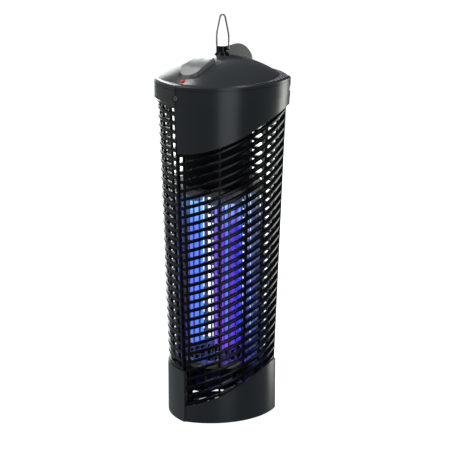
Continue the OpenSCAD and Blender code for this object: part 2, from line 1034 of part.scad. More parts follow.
module tie_nuts() {
    color(BRASS)
        for (a = CORNERS)
            rotate(a - TIE_TURN)
                translate([tie_place_r, 0, deck_z + 0.02])
                    difference() {
                        cylinder(h = 3.2, r = 4, $fn = 6);
                        translate([0, 0, -1])
                            cylinder(h = 6, r = tie_r + 0.05, $fn = 32);
                    }
}

// ---------- base ----------

// One face of the bottom cap as a solid, with its upper edge cut
module base_face(a) {
    difference() {
        intersection() {
            bulge(0, base_h + 2, base_face_r, base_face_r);
            wedge();
        }
        if (a == FRONT)
            through_face()
                polygon(concat([[-big, 600], [-big, base_edge(-big)]],
                               [for (t = edge_points(base_half_w, 0, EDGE_STEPS)) [t, base_edge(t)]],
                               [[big, base_edge(big)], [big, 600]]));
    }
}

module bottom_cap() {
    ledge = 6;
    inner_r = base_face_r - wall;
    color(CHARCOAL)
        difference() {
            union() {
                difference() {
                    union() {
                        for (a = FACES)
                            rotate(a)
                                base_face(a);
                    }
                    section(-1, base_h + 3, inner_r, inner_r);
                    translate([-big, -big, base_h])
                        cube([2 * big, 2 * big, 10]);
                }
                difference() {
                    inner_section(grate_t + gap, grate_t + gap + 2.4, base_face_r - 0.2);
                    inner_section(0, 20, base_face_r - ledge);
                }
                for (a = CORNERS)
                    rotate(a)
                        translate([boss_place_r, 0, grate_t + gap + 0.6])
                            cylinder(h = boss_h - 0.6, r = 4.5, $fn = 48);
            }
            for (a = CORNERS)
                rotate(a)
                    translate([boss_place_r, 0, -1])
                        cylinder(h = 14, r = 1.25, $fn = 32);
        }
}

module base_grate() {
    r = base_face_r - wall - gap;
    color(BLACK)
        difference() {
            intersection() {
                inner_section(0, grate_t, r);
                union() {
                    difference() {
                        translate([0, 0, -1])
                            cylinder(h = grate_t + 2, r = 2 * r);
                        inner_section(-2, grate_t + 2, r - 5);
                    }
                    translate([0, 0, -1])
                        cylinder(h = grate_t + 2, r = hub_r, $fn = 96);
                    for (i = [0 : 5])
                        rotate(30 + 60 * i)
                            translate([hub_r - 2, -bar_w / 2, -1])
                                cube([r, bar_w, grate_t + 2]);
                    translate([0, 0, -1])
                        ring(post_r + 4, post_r - 4, grate_t + 2);
                    for (a = CORNERS) {
                        rotate(a)
                            translate([boss_place_r - 1, 0, -1])
                                cylinder(h = grate_t + 2, r = 6, $fn = 48);
                        rotate(a - TIE_TURN)
                            translate([tie_place_r, 0, -1])
                                cylinder(h = grate_t + 2, r = 5, $fn = 48);
                    }
                }
            }
            for (a = CORNERS)
                rotate(a) {
                    translate([boss_place_r, 0, -1])
                        cylinder(h = 14, r = 1.7, $fn = 32);
                    translate([boss_place_r, 0, -1])
                        cylinder(h = 1 + 2.8, r = 3.4, $fn = 32);
                }
        }
}

module base_screws() {
    color(STEEL)
        for (a = CORNERS)
            rotate(a)
                translate([boss_place_r, 0, 2.78])
                    rotate([180, 0, 0])
                        screw(3.1, 2.2, 1.2, 9);
}

top_cover();
cover_gasket();
hanger_bracket();
bracket_screws();
bail();
power_button();
button_spring();
push_switch();
led_lens();
status_led();
circuit_board();
board_standoffs();
hv_transformer();
hv_capacitors();
lamp_ballast();
wiring_harness();
top_cap();
corner_screws();
cord_gland();
gland_nut();
chassis_plate();
core_housing();
lamp_socket(FRONT);  // lamp_socket_front
lamp_socket(REAR);  // lamp_socket_rear
lamp_socket(LEFT);  // lamp_socket_left
lamp_base(FRONT);  // lamp_base_front
lamp_base(REAR);  // lamp_base_rear
lamp_base(LEFT);  // lamp_base_left
lamp(FRONT);  // lamp_front
lamp(REAR);  // lamp_rear
lamp(LEFT);  // lamp_left
guard(FRONT);  // guard_front
guard(REAR);  // guard_rear
guard(LEFT);  // guard_left
outer_grid();
inner_grid();
upper_insulator();
lower_insulator();
lower_support();
tie_rods();
tie_nuts();
bottom_cap();
base_grate();
base_screws();
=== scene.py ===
"""Finished looks of a hanging electric bug zapper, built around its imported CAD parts.

Metres, +Z up, with the origin on the long axis at the level of the base. The lantern has a three-sided
section with bulging faces. Guard panels, lamps, the wire loop and the push button are made here as
smooth surfaces, and every other CAD part keeps its shape and takes a finish.
"""

import json
import logging
import math
from dataclasses import dataclass
from enum import Enum

import bpy
import numpy as np
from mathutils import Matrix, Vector


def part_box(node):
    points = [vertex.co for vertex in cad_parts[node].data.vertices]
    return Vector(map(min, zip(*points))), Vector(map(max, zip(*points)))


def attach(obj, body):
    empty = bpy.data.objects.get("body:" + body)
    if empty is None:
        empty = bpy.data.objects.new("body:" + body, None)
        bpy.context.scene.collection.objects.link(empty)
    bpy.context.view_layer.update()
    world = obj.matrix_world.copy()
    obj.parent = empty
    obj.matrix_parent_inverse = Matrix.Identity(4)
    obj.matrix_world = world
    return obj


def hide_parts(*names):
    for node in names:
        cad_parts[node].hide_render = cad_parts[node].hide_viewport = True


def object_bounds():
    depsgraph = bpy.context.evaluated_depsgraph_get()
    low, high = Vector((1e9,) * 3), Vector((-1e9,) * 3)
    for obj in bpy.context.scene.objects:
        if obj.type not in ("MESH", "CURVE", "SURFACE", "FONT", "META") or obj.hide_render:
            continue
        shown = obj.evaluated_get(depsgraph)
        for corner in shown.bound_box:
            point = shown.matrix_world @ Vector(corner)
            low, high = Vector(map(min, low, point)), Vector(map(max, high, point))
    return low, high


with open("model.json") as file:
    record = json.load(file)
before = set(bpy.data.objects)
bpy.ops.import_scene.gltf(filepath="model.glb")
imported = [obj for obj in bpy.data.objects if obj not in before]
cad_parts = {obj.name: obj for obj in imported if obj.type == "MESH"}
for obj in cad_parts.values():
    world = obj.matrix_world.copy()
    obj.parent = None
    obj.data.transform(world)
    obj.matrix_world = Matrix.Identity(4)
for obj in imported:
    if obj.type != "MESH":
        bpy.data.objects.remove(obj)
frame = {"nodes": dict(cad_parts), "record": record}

CAD_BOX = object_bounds()
LOG = logging.getLogger("bug_zapper")
MM = 0.001
Colour = tuple[float, float, float]


class Face(Enum):
    """The three faces of the lantern, by the compass angle of their middles in degrees."""

    FRONT = 330.0
    REAR = 90.0
    LEFT = 210.0


class Body(Enum):
    """The bodies that pieces ride on."""

    HOUSING = "housing"
    BAIL = "bail"
    BUTTON = "button"


# ---------------------------------------------------------------- mesh work


@dataclass
class Shell:
    """A closed surface made of a grid of points: rows of rings, with both end rings closed by a face."""

    points: np.ndarray
    ends: bool = True

    def faces(self) -> list[list[int]]:
        """Quads between neighbouring rings, and one face at each end ring.

        Returns:
            Lists of point numbers, turned so that the faces point outwards.
        """
        rows, around = self.points.shape[:2]
        number = np.arange(rows * around).reshape(rows, around)
        right = np.roll(number, -1, axis=1)
        quads = np.stack([number[:-1], right[:-1], right[1:], number[1:]], axis=-1).reshape(-1, 4)
        if self.enclosed(quads) < 0:
            quads = quads[:, ::-1]
            first, last = number[0], number[-1][::-1]
        else:
            first, last = number[0][::-1], number[-1]
        caps = [first.tolist(), last.tolist()] if self.ends else []
        return quads.tolist() + caps

    def enclosed(self, quads: np.ndarray) -> float:
        """Volume between the quads and the shell's middle, positive if they point outwards.

        Args:
            quads: point numbers, four a row.

        Returns:
            The sum, over both triangles of every quad, of a sixth of the box product of their corners.
        """
        p = self.points.reshape(-1, 3)
        p = (p - p.mean(axis=0))[quads]
        one = np.einsum("ij,ij->i", p[:, 0], np.cross(p[:, 1], p[:, 2]))
        two = np.einsum("ij,ij->i", p[:, 0], np.cross(p[:, 2], p[:, 3]))
        return float((one + two).sum() / 6)


def make_piece(name: str, shells: list[Shell], smooth_below: float = 40.0) -> bpy.types.Object:
    """Joins shells into one mesh object at the origin.

    Args:
        name: the object's name.
        shells: closed surfaces, which may stand apart.
        smooth_below: edges that bend by less than this many degrees are shaded smooth.

    Returns:
        The new object.
    """
    points: list[np.ndarray] = []
    faces: list[list[int]] = []
    start = 0
    for shell in shells:
        faces += [[start + i for i in face] for face in shell.faces()]
        points.append(shell.points.reshape(-1, 3))
        start += points[-1].shape[0]
    mesh = bpy.data.meshes.new(name)
    mesh.from_pydata(np.vstack(points).tolist(), [], faces)
    mesh.shade_smooth()
    mesh.set_sharp_from_angle(angle=math.radians(smooth_below))
    mesh.update()
    piece = bpy.data.objects.new(name, mesh)
    bpy.context.scene.collection.objects.link(piece)
    return piece


def rounded_box_ring(width: float, height: float, radius: float, steps: int = 4) -> np.ndarray:
    """Outline of a rectangle with round corners, its middle at 0.

    Each corner is a quarter circle: its middle plus radius times the cosine and sine of the angle.

    Args:
        width: size along the first axis.
        height: size along the second axis.
        radius: corner radius.
        steps: points in each corner.

    Returns:
        An array of (first, second) pairs, anticlockwise.
    """
    angle = np.linspace(0, math.pi / 2, steps)[None, :] + np.arange(4)[:, None] * math.pi / 2
    sign = np.array([[1, 1], [-1, 1], [-1, -1], [1, -1]], float)
    middle = sign * (np.array([width, height]) / 2 - radius)
    ring = middle[:, None, :] + radius * np.stack([np.cos(angle), np.sin(angle)], axis=-1)
    return ring.reshape(-1, 2)


def rounded_path(corners: np.ndarray, radii: list[float], steps: int = 9) -> np.ndarray:
    """A path of straight lines whose inner corners are rounded by arcs.

    An arc of radius r touches both lines at r / tan(half the corner's angle) from the corner.

    Args:
        corners: the path's corners, one a row.
        radii: radius of the arc at each inner corner.
        steps: points in each arc.

    Returns:
        Points along the path.
    """
    path = [corners[:1]]
    for before, corner, after, radius in zip(corners[:-2], corners[1:-1], corners[2:], radii):
        back = (before - corner) / np.linalg.norm(before - corner)
        ahead = (after - corner) / np.linalg.norm(after - corner)
        half = math.acos(float(np.clip(back @ ahead, -1, 1))) / 2
        middle_way = (back + ahead) / np.linalg.norm(back + ahead)
        middle = corner + middle_way * radius / math.sin(half)
        across = (ahead - back) / np.linalg.norm(ahead - back)
        swing = np.linspace(half - math.pi / 2, math.pi / 2 - half, steps)[:, None]
        path.append(middle - radius * (np.cos(swing) * middle_way - np.sin(swing) * across))
    path.append(corners[-1:])
    return np.vstack(path)


def tube(path: np.ndarray, radius: float, side: np.ndarray, around: int = 20) -> Shell:
    """A round tube along a path that lies in one plane.

    Each ring is its path point plus radius times (cos a times the plane's normal + sin a times the
    direction across the path), with a from 0 to a full turn.

    Args:
        path: points along the middle.
        radius: radius of the tube.
        side: unit normal of the path's plane.
        around: points in each ring.

    Returns:
        The closed tube.
    """
    along = np.gradient(path, axis=0)
    along /= np.linalg.norm(along, axis=1, keepdims=True)
    across = np.cross(along, side)
    a = np.linspace(0, 2 * math.pi, around, endpoint=False)[None, :, None]
    return Shell(path[:, None, :] + radius * (np.cos(a) * side + np.sin(a) * across[:, None, :]))


def turned(profile: np.ndarray, centre: tuple[float, float], around: int = 48) -> Shell:
    """A profile of (radius, height) turned about an upright axis.

    Args:
        profile: pairs from one end to the other, none on the axis itself.
        centre: where the axis stands, in X and Y.
        around: points in each ring.

    Returns:
        The closed surface.
    """
    a = np.linspace(0, 2 * math.pi, around, endpoint=False)[None, :]
    r = profile[:, :1]
    x = centre[0] + r * np.cos(a)
    y = centre[1] + r * np.sin(a)
    z = np.broadcast_to(profile[:, 1:], x.shape)
    return Shell(np.stack([x, y, z], axis=-1))


def stadium_ring(length: float, width: float, steps: int = 24) -> np.ndarray:
    """Outline of a bar with half-round ends, long way along Y, its middle at 0.

    The ends are half circles of half the width, centred half the straight length either way.

    Args:
        length: overall length.
        width: overall width.
        steps: points in each end.

    Returns:
        An array of (x, y) pairs, anticlockwise.
    """
    a = np.linspace(0, math.pi, steps)
    end = np.stack([np.cos(a), np.sin(a)], axis=-1) * width / 2
    shift = np.array([0.0, (length - width) / 2])
    return np.vstack([end + shift, -end - shift])


# ---------------------------------------------------------------- finishes


@dataclass(frozen=True)
class Finish:
    """A moulded or metal finish with fine grain, uneven gloss and softly rounded edges."""

    name: str
    colour: Colour
    metallic: float = 0.0
    roughness: float = 0.4
    coat: float = 0.0
    grain: float = 700.0
    colour_change: float = 0.12
    gloss_change: float = 0.06
    relief: float = 0.00004
    edge_radius: float = 0.0005

    def material(self) -> bpy.types.Material:
        """Makes the material, or returns the one that is already there."""
        found = bpy.data.materials.get(self.name)
        if found:
            return found
        made = bpy.data.materials.new(self.name)
        made.use_nodes = True
        made.diffuse_color = (*self.colour, 1.0)
        tree = made.node_tree
        shader = tree.nodes["Principled BSDF"]
        shader.inputs["Metallic"].default_value = self.metallic
        shader.inputs["Coat Weight"].default_value = self.coat
        shader.inputs["Coat Roughness"].default_value = 0.08
        self.dress(tree, shader)
        return made

    def dress(self, tree: bpy.types.NodeTree, shader: bpy.types.Node) -> None:
        """Adds the grain, the uneven gloss and the rounded edges.

        Args:
            tree: the material's nodes.
            shader: its Principled shader.
        """
        grain = noise(tree, self.grain, 3.0)
        cloud = noise(tree, self.grain / 40, 2.0)
        light = tuple(min(1.0, c * (1 + self.colour_change)) for c in self.colour)
        dark = tuple(c * (1 - self.colour_change) for c in self.colour)
        tint = ramp(tree, cloud, [(0.3, dark), (0.7, light)])
        tree.links.new(tint, shader.inputs["Base Color"])
        low, high = self.roughness - self.gloss_change, self.roughness + self.gloss_change
        tree.links.new(spread(tree, cloud, low, high), shader.inputs["Roughness"])
        tree.links.new(relief(tree, grain, self.relief, self.edge_radius), shader.inputs["Normal"])


@dataclass(frozen=True)
class FleckedFinish(Finish):
    """Satin plastic with fine metal flakes in it, as on the two caps."""

    fleck: Colour = (0.5, 0.55, 0.55)
    fleck_scale: float = 1500.0
    fleck_share: float = 0.62

    def dress(self, tree: bpy.types.NodeTree, shader: bpy.types.Node) -> None:
        """Adds flakes to the plain grain: small cells, the rarest of which are bright."""
        super().dress(tree, shader)
        cells = tree.nodes.new("ShaderNodeTexVoronoi")
        cells.inputs["Scale"].default_value = self.fleck_scale
        tree.links.new(object_place(tree), cells.inputs["Vector"])
        stops = [(0.0, self.colour), (self.fleck_share, self.colour), (1.0, self.fleck)]
        tree.links.new(ramp(tree, cells.outputs["Color"], stops), shader.inputs["Base Color"])


@dataclass(frozen=True)
class LensFinish(Finish):
    """Clear coloured plastic that glows a little from the light behind it."""

    glow: float = 1.2

    def dress(self, tree: bpy.types.NodeTree, shader: bpy.types.Node) -> None:
        """Adds the glow, slightly uneven, and keeps the gloss."""
        super().dress(tree, shader)
        shader.inputs["Transmission Weight"].default_value = 0.25
        cloud = noise(tree, 260.0, 1.0)
        dim = tuple(c * 0.6 for c in self.colour)
        tree.links.new(ramp(tree, cloud, [(0.2, dim), (0.8, self.colour)]), shader.inputs["Emission Color"])
        shader.inputs["Emission Strength"].default_value = self.glow


@dataclass(frozen=True)
class LampFinish(Finish):
    """A lit ultraviolet tube: each leg has its own tint, and both are paler close to the lamp's base."""

    near: Colour = (0.19, 0.05, 0.85)
    far: Colour = (0.03, 0.02, 0.8)
    pale: Colour = (0.55, 0.8, 1.0)
    glow: float = 1.5
    legs_meet: float = -0.015
    pale_from: float = 0.27
    pale_to: float = 0.31
    leg_blend: float = 0.006
    mottle: float = 90.0

    def dress(self, tree: bpy.types.NodeTree, shader: bpy.types.Node) -> None:
        """Adds the glow, which changes from leg to leg and with height, with a mottle of powder coat."""
        super().dress(tree, shader)
        split = tree.nodes.new("ShaderNodeSeparateXYZ")
        tree.links.new(object_place(tree), split.inputs["Vector"])
        low, high = self.legs_meet - self.leg_blend, self.legs_meet + self.leg_blend
        leg = between(tree, split.outputs["Y"], low, high)
        tint = ramp(tree, leg, [(0.0, self.near), (1.0, self.far)])
        mix = tree.nodes.new("ShaderNodeMix")
        mix.data_type = "RGBA"
        tree.links.new(between(tree, split.outputs["Z"], self.pale_from, self.pale_to), mix.inputs["Factor"])
        tree.links.new(tint, mix.inputs[6])
        base_tint = ramp(tree, noise(tree, self.mottle, 2.0), [(0.3, self.pale), (0.7, self.far)])
        tree.links.new(base_tint, mix.inputs[7])
        tree.links.new(mix.outputs[2], shader.inputs["Emission Color"])
        shader.inputs["Emission Strength"].default_value = self.glow


def object_place(tree: bpy.types.NodeTree) -> bpy.types.NodeSocket:
    """The output that gives each point's own place in metres."""
    return tree.nodes.new("ShaderNodeTexCoord").outputs["Object"]


def noise(tree: bpy.types.NodeTree, scale: float, detail: float) -> bpy.types.NodeSocket:
    """Adds a cloudy pattern.

    Args:
        tree: the material's nodes.
        scale: how many features there are in a metre.
        detail: how many finer layers are added.

    Returns:
        The output that gives the pattern, from 0 to 1.
    """
    node = tree.nodes.new("ShaderNodeTexNoise")
    node.inputs["Scale"].default_value = scale
    node.inputs["Detail"].default_value = detail
    tree.links.new(object_place(tree), node.inputs["Vector"])
    return node.outputs["Fac"]


def ramp(
    tree: bpy.types.NodeTree, value: bpy.types.NodeSocket, stops: list[tuple[float, Colour]]
) -> bpy.types.NodeSocket:
    """Turns a value into a colour.

    Args:
        tree: the material's nodes.
        value: the output to read.
        stops: places from 0 to 1 with their colours, in order.

    Returns:
        The output that gives the colour.
    """
    node = tree.nodes.new("ShaderNodeValToRGB")
    band = node.color_ramp
    while len(band.elements) < len(stops):
        band.elements.new(0.5)
    for element, (place, colour) in zip(band.elements, stops):
        element.position = min(place, 1.0)
        element.color = (*colour, 1.0)
    tree.links.new(value, node.inputs["Fac"])
    return node.outputs["Color"]


def spread(
    tree: bpy.types.NodeTree, value: bpy.types.NodeSocket, low: float, high: float
) -> bpy.types.NodeSocket:
    """Stretches a value from 0..1 to low..high and returns the output that gives it."""
    node = tree.nodes.new("ShaderNodeMapRange")
    node.inputs["To Min"].default_value = low
    node.inputs["To Max"].default_value = high
    tree.links.new(value, node.inputs["Value"])
    return node.outputs["Result"]


def between(
    tree: bpy.types.NodeTree, value: bpy.types.NodeSocket, low: float, high: float
) -> bpy.types.NodeSocket:
    """Turns low..high into 0..1, held at both ends, and returns the output that gives it."""
    node = tree.nodes.new("ShaderNodeMapRange")
    node.inputs["From Min"].default_value = low
    node.inputs["From Max"].default_value = high
    tree.links.new(value, node.inputs["Value"])
    return node.outputs["Result"]


def relief(
    tree: bpy.types.NodeTree, height: bpy.types.NodeSocket, depth: float, edge_radius: float
) -> bpy.types.NodeSocket:
    """Adds fine bumps over edges that are shaded as if rounded.

    Args:
        tree: the material's nodes.
        height: the bumps' pattern.
        depth: how deep the bumps are, in metres.
        edge_radius: radius of the edges, in metres.

    Returns:
        The output that gives the shading normal.
    """
    edge = tree.nodes.new("ShaderNodeBevel")
    edge.samples = 4
    edge.inputs["Radius"].default_value = edge_radius
    bumps = tree.nodes.new("ShaderNodeBump")
    bumps.inputs["Strength"].default_value = 0.5
    bumps.inputs["Distance"].default_value = depth
    tree.links.new(height, bumps.inputs["Height"])
    tree.links.new(edge.outputs["Normal"], bumps.inputs["Normal"])
    return bumps.outputs["Normal"]


FINISHES: dict[str, Finish] = {
    f.name: f
    for f in (
        FleckedFinish(
            "charcoal_shell", (0.055, 0.063, 0.065), 0.8, 0.33, 0.1, 900.0, 0.1, 0.04, 0.00003, 0.0007,
            fleck=(0.3, 0.34, 0.34),
        ),
        Finish("black_gloss", (0.006, 0.007, 0.009), 0.0, 0.14, 0.6, 500.0, 0.2, 0.05, 0.00002, 0.0006),
        Finish("black_matte", (0.014, 0.015, 0.017), 0.0, 0.5, 0.0, 900.0, 0.2, 0.08, 0.00005, 0.0005),
        Finish("button_silver", (0.42, 0.47, 0.45), 0.55, 0.24, 0.35, 1200.0, 0.06, 0.04, 0.00002, 0.0006),
        LensFinish("red_lens", (0.75, 0.05, 0.05), 0.0, 0.15, 0.3),
        Finish("bail_wire", (0.55, 0.56, 0.57), 1.0, 0.24, 0.0, 2500.0, 0.12, 0.08, 0.00002, 0.0001),
        Finish("spring_steel", (0.5, 0.5, 0.5), 1.0, 0.3, 0.0, 2500.0),
        # screw_steel: the steel colour is darkened far below bare steel as painted shade, so the screw heads
        # read as the dark recesses they sit in.
        Finish("screw_steel", (0.045, 0.047, 0.05), 1.0, 0.35, 0.0, 2000.0, 0.15, 0.1, 0.00003, 0.0002),
        Finish("chassis_steel", (0.5, 0.52, 0.53), 0.9, 0.42, 0.0, 500.0, 0.15, 0.1, 0.00005, 0.0003),
        Finish("electrode_steel", (0.22, 0.22, 0.24), 1.0, 0.3, 0.0, 1800.0, 0.1, 0.08, 0.00002, 0.0001),
        Finish("insulator_ceramic", (0.72, 0.71, 0.66), 0.0, 0.28, 0.3, 500.0, 0.05, 0.06, 0.00003, 0.0004),
        LampFinish("lamp_glass", (0.75, 0.75, 0.85), 0.0, 0.12, 0.3),
        Finish("lamp_base_white", (0.75, 0.74, 0.7), 0.0, 0.35, 0.0, 600.0, 0.05),
        Finish("socket_white", (0.68, 0.67, 0.62), 0.0, 0.45, 0.0, 600.0, 0.05),
        Finish("board_green", (0.02, 0.16, 0.06), 0.0, 0.35, 0.3, 700.0, 0.25, 0.08),
        Finish("brass_parts", (0.65, 0.48, 0.2), 1.0, 0.28, 0.0, 1500.0, 0.12, 0.08),
        Finish("transformer_iron", (0.06, 0.055, 0.05), 0.5, 0.5, 0.0, 500.0, 0.3, 0.1),
        Finish("capacitor_amber", (0.45, 0.16, 0.02), 0.0, 0.3, 0.3, 400.0, 0.15),
        Finish("ballast_case", (0.6, 0.6, 0.58), 0.2, 0.45, 0.0, 500.0, 0.08),
        Finish("wire_red", (0.5, 0.02, 0.015), 0.0, 0.35, 0.0, 900.0, 0.1),
        Finish("gasket_rubber", (0.012, 0.012, 0.012), 0.0, 0.7, 0.0, 900.0, 0.2),
    )
}

TUBE = {"colour": (0.08, 0.07, 0.3), "roughness": 0.2, "coat": 0.2}
LAMP_LOOKS: dict[Face, LampFinish] = {
    Face.FRONT: LampFinish("lamp_glass_front", **TUBE, glow=1.35),
    Face.LEFT: LampFinish(
        "lamp_glass_left", **TUBE, glow=1.3,
        near=(0.09, 0.2, 1.0), far=(0.03, 0.33, 1.0), pale=(0.4, 0.8, 1.0),
    ),
    Face.REAR: LampFinish(
        "lamp_glass_rear", **TUBE, near=(0.03, 0.1, 0.95), far=(0.05, 0.4, 1.0), glow=1.6, legs_meet=0.03
    ),
}


# ---------------------------------------------------------------- the lantern's shape


@dataclass(frozen=True)
class Lantern:
    """Sizes that the pieces share, and the shape of the bulging faces."""

    height: float = 473 * MM
    cap_half: float = 81.4 * MM
    base_half: float = 69.9 * MM
    arc_back: float = 26 * MM
    face_shift: float = 1.25 * MM
    guard_top: float = 84 * MM
    guard_base: float = 66.3 * MM
    swoop_long: float = 88 * MM
    swoop_short: float = 33 * MM
    base_high: float = 75 * MM
    base_low: float = 21.6 * MM
    skirt_z: float = 448 * MM
    base_rim: float = 74 * MM
    gap: float = 0.4 * MM

    def face_radius(self, turn: np.ndarray, middle: np.ndarray) -> np.ndarray:
        """Distance from the axis to a face.

        A face is an arc centred behind the axis and a little to one side. The distance r along a
        direction solves r squared + 2 r b + c squared = arc radius squared, where b is the direction's
        share of the centre's offset and c is the offset's length.

        Args:
            turn: angle from the face's middle, in radians.
            middle: distance to the middle of the face, less the sideways shift.

        Returns:
            The distances, in metres.
        """
        b = self.arc_back * np.cos(turn) - self.face_shift * np.sin(turn)
        offset = self.arc_back**2 + self.face_shift**2
        return -b + np.sqrt(b**2 - offset + (middle + self.arc_back) ** 2)

    def guard_middle(self, z: np.ndarray) -> np.ndarray:
        """Middle distance of a guard face at height z, which grows evenly from base to top."""
        return self.guard_base + (self.guard_top - self.guard_base) * z / self.height

    @staticmethod
    def ease(u: np.ndarray) -> np.ndarray:
        """Rise from 0 to 1 of the swooping edges: 0.55 u squared (3 - 2u) + 0.45 u to the power 1.5."""
        u = np.clip(u, 0, 1)
        return 0.55 * u * u * (3 - 2 * u) + 0.45 * u**1.5

    def top_edge(self, face: Face, along: np.ndarray) -> np.ndarray:
        """Height of the top cap's lower edge at a distance along a face."""
        if face is not Face.FRONT:
            return np.full_like(along, self.skirt_z)
        rise = self.ease((along + self.cap_half) / (2 * self.cap_half))
        return self.height - self.swoop_long + (self.swoop_long - self.swoop_short) * rise

    def low_edge(self, face: Face, along: np.ndarray) -> np.ndarray:
        """Height of the bottom cap's upper edge at a distance along a face."""
        if face is not Face.FRONT:
            return np.full_like(along, self.base_rim)
        fall = self.ease(1 - (along + self.base_half) / (2 * self.base_half))
        return self.base_high - (self.base_high - self.base_low) * fall

    @staticmethod
    def place(face: Face, turn: np.ndarray, radius: np.ndarray, z: np.ndarray) -> np.ndarray:
        """Points from their angle off a face's middle, distance from the axis and height."""
        angle = math.radians(face.value) + turn
        return np.stack([radius * np.cos(angle), radius * np.sin(angle), z], axis=-1)


@dataclass
class GuardPanel:
    """One face of the slatted guard, with its slats, the ribs behind them and the strip at its far end."""

    lantern: Lantern
    face: Face
    pitch: float = 12.5 * MM
    slat_height: float = 5 * MM
    slat_depth: float = 6.5 * MM
    slat_corner: float = 1.3 * MM
    slope: float = 0.4
    first_gap: float = 6.5 * MM
    rib_width: float = 3.2 * MM
    rib_recess: float = 3.2 * MM
    strip_width: float = 3 * MM
    rib_low: float = 17 * MM
    thinnest: float = 0.8 * MM
    start_turn: float = math.radians(-59.3)
    end_turn: float = math.radians(58.7)
    rib_turns: tuple[float, ...] = (-57.4, -23.0, 7.5, 31.0, 48.0)
    rib_corner: float = 0.7 * MM
    strip_corner: float = 0.9 * MM
    level_slats: int = 30
    slats_above: int = 7
    slats_below: int = 33
    trial_steps: int = 241
    slat_steps: int = 41
    shortest_run: int = 3

    def build(self) -> bpy.types.Object:
        """Makes the panel, stands it in for its CAD part and dresses it.

        Returns:
            The panel.
        """
        node = f"guard_{self.face.name.lower()}"
        shells = self.slats() + self.ribs() + [self.end_strip()]
        piece = make_piece(f"slatted_{node}", shells, 50.0)
        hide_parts(node)
        return finish_piece(piece, Body.HOUSING, "black_gloss")

    def slat_lows(self) -> np.ndarray:
        """Heights of the slats' lower faces at the middle of the face."""
        front = self.face is Face.FRONT
        number = np.arange(-self.slats_above, self.slats_below) if front else np.arange(self.level_slats)
        return self.lantern.skirt_z - self.first_gap - self.slat_height - self.pitch * number

    def slats(self) -> list[Shell]:
        """Every slat as a rounded bar along the face, cut off where it meets the swooping edges.

        Returns:
            One shell for each unbroken run of slat.
        """
        shells = []
        turn = np.linspace(self.start_turn, self.end_turn, self.trial_steps)
        for low in self.slat_lows():
            bottom, top = self.slat_limits(turn, low)
            shown = np.concatenate([[0], (top - bottom > self.thinnest).astype(int), [0]])
            change = np.flatnonzero(np.diff(shown))
            for first, last in zip(change[::2], change[1::2] - 1):
                if last - first > self.shortest_run:
                    shells.append(self.slat(np.linspace(turn[first], turn[last], self.slat_steps), low))
        return shells

    def slat_limits(self, turn: np.ndarray, low: float) -> tuple[np.ndarray, np.ndarray]:
        """Lower and upper height of a slat along the face, after the caps' edges have cut it.

        Args:
            turn: angles from the face's middle.
            low: height of the slat's lower face at the middle of the face.

        Returns:
            The lower heights and the upper heights.
        """
        along = self.lantern.face_radius(turn, self.lantern.guard_middle(low)) * np.sin(turn)
        tilt = self.slope * along if self.face is Face.FRONT else np.zeros_like(along)
        floor = self.lantern.low_edge(self.face, along) + self.lantern.gap
        ceiling = self.lantern.top_edge(self.face, along) - self.lantern.gap
        return np.maximum(low + tilt, floor), np.minimum(low + tilt + self.slat_height, ceiling)

    def slat(self, turn: np.ndarray, low: float) -> Shell:
        """One run of a slat: a rounded rectangle, deep way inwards, carried along the face.

        Args:
            turn: angles from the face's middle, in order.
            low: height of the slat's lower face at the middle of the face.

        Returns:
            The closed bar.
        """
        bottom, top = self.slat_limits(turn, low)
        ring = rounded_box_ring(self.slat_depth, self.slat_height, self.slat_corner)
        middle = (bottom + top) / 2
        z = middle[:, None] + ring[None, :, 1] * ((top - bottom) / self.slat_height)[:, None]
        t = turn[:, None]
        outer = self.lantern.face_radius(t, self.lantern.guard_middle(z))
        radius = outer - self.slat_depth / 2 + ring[None, :, 0]
        return Shell(self.lantern.place(self.face, t, radius, z))

    def upright(self, turn: float, across: np.ndarray, inset: np.ndarray, low: float, high: float) -> Shell:
        """A bar up the face: a ring of (sideways, inwards) offsets carried up the face's line at one angle.

        Args:
            turn: angle of the bar from the face's middle, in radians.
            across: sideways offset of each ring point.
            inset: inward offset of each ring point.
            low: height of its foot.
            high: height of its head.

        Returns:
            The closed bar.
        """
        z = np.linspace(low, high, 5)[:, None] + np.zeros_like(across)[None, :]
        surface = self.lantern.face_radius(turn, self.lantern.guard_middle(z))
        points = self.lantern.place(self.face, np.full_like(z, turn), surface - inset, z)
        angle = math.radians(self.face.value) + turn
        sideways = np.array([-math.sin(angle), math.cos(angle), 0.0])
        return Shell(points + across[None, :, None] * sideways)

    def ribs(self) -> list[Shell]:
        """The uprights behind the slats."""
        deep = self.slat_depth - self.rib_recess
        ring = rounded_box_ring(self.rib_width, deep, self.rib_corner)
        inset = self.rib_recess + deep / 2 - ring[:, 1]
        high = self.lantern.skirt_z
        return [self.upright(math.radians(t), ring[:, 0], inset, self.rib_low, high) for t in self.rib_turns]

    def end_strip(self) -> Shell:
        """The smooth upright that closes the panel's far end, as deep as the slats."""
        ring = rounded_box_ring(self.strip_width, self.slat_depth, self.strip_corner)
        turn = self.end_turn
        middle = self.lantern.guard_middle(self.lantern.base_rim)
        along = np.array(self.lantern.face_radius(turn, middle) * math.sin(turn))
        low = float(self.lantern.low_edge(self.face, along)) + self.lantern.gap
        high = float(self.lantern.top_edge(self.face, along)) - self.lantern.gap
        across = ring[:, 0] - self.strip_width / 2
        return self.upright(turn, across, self.slat_depth / 2 - ring[:, 1], low, high)


